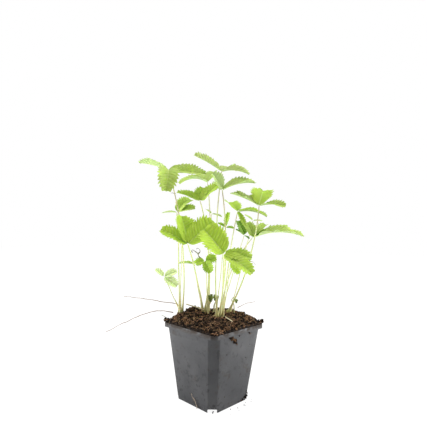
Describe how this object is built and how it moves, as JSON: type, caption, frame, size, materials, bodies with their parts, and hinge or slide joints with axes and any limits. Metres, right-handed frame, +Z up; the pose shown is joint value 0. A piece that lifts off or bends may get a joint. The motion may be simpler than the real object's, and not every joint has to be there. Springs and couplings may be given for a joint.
{
  "type": "potted strawberry plant",
  "caption": "Young strawberry plant with serrated three-part leaves on thin stalks, growing from heaped soil in a square tapered nursery pot.",
  "frame": {"origin": "middle of the pot's flat underside", "axes": "+Z up; the pot's four sides face X and Y; the plant's best side faces +X -Y, at azimuth 44.2 degrees"},
  "size_m": [0.1729, 0.1813, 0.3041],
  "materials": {
    "pot": "moulded dark grey, slightly satin",
    "soil": null,
    "crown": "fibrous plant tissue",
    "leaf": null,
    "stalk": "green stem, finely hairy",
    "runner": "dried thin runner",
    "straw": "dry straw"
  },
  "bodies": {
    "root": {"crown_left": "crown", "crown_main": "crown", "crown_right": "crown", "crown_second": "crown", "leaf_back_middle": "leaf", "leaf_back_right": "leaf", "leaf_bud_left": "leaf", "leaf_far_right": "leaf", "leaf_front_left": "leaf", "leaf_front_middle": "leaf", "leaf_high_middle": "leaf", "leaf_low_left": "leaf", "leaf_middle": "leaf", "leaf_middle_left": "leaf", "leaf_right_middle": "leaf", "leaf_small_dark": "leaf", "leaf_small_front": "leaf", "leaf_small_left": "leaf", "leaf_small_middle": "leaf", "leaf_small_right": "leaf", "leaf_top": "leaf", "leaf_top_left": "leaf", "leaf_top_right": "leaf", "leaf_under_top": "leaf", "pot": "pot", "runner_back": "runner", "runner_high": "runner", "runner_low": "runner", "shoot_hooked": "stalk", "shoot_left": "stalk", "shoot_middle": "stalk", "soil": "soil", "stalk_back_middle": "stalk", "stalk_back_right": "stalk", "stalk_bud_left": "stalk", "stalk_far_right": "stalk", "stalk_front_left": "stalk", "stalk_front_middle": "stalk", "stalk_high_middle": "stalk", "stalk_low_left": "stalk", "stalk_middle": "stalk", "stalk_middle_left": "stalk", "stalk_right_middle": "stalk", "stalk_small_dark": "stalk", "stalk_small_front": "stalk", "stalk_small_left": "stalk", "stalk_small_middle": "stalk", "stalk_small_right": "stalk", "stalk_top": "stalk", "stalk_top_left": "stalk", "stalk_top_right": "stalk", "stalk_under_top": "stalk", "straw_back": "straw", "straw_front": "straw"}
  },
  "joints": []
}
